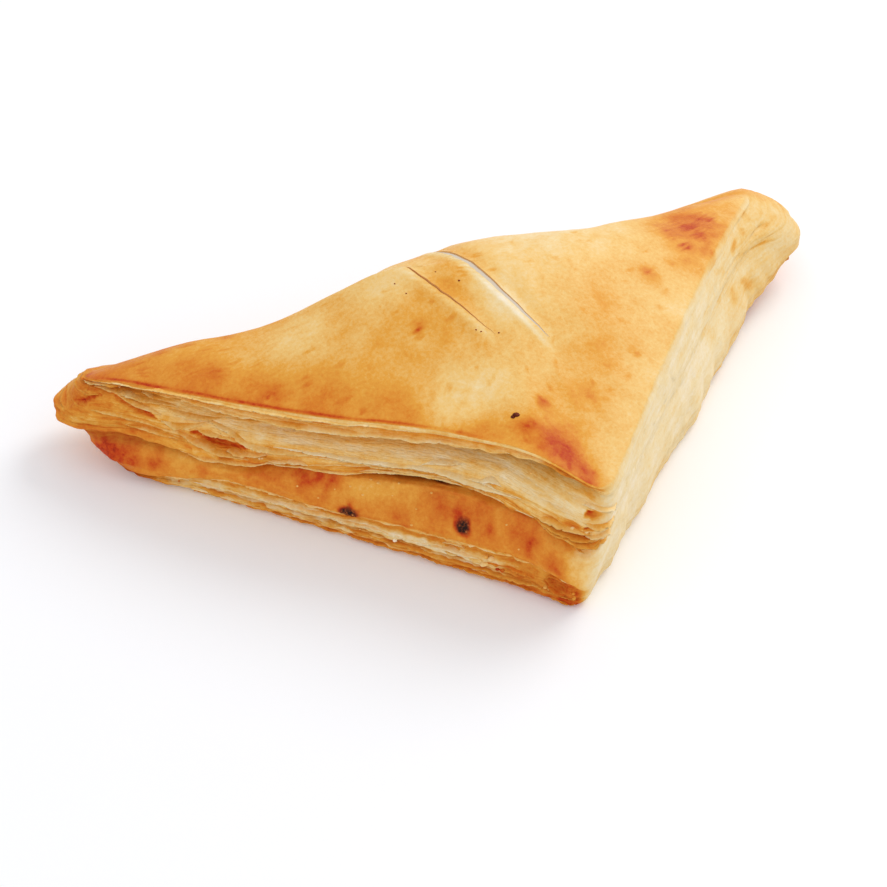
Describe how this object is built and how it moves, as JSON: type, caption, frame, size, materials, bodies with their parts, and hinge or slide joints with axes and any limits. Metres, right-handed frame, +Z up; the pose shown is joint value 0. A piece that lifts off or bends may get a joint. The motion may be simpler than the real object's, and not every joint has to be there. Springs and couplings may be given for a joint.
{
  "type": "puff pastry",
  "caption": "Triangular filled puff pastry, golden and domed, with steam slits on top and flaky layers opened along one side.",
  "frame": {"origin": "on the flat underside, below the middle of the pastry's box", "axes": "+X along the folded side from the left tip to the right tip, +Y towards the folded side and away from the square corner, +Z up out of the crust"},
  "size_m": [0.2054, 0.1134, 0.0494],
  "materials": {
    "baked_dough": "satin glazed crust, matt flaky layers"
  },
  "bodies": {
    "root": {"puff_pastry": "baked_dough"}
  },
  "joints": []
}
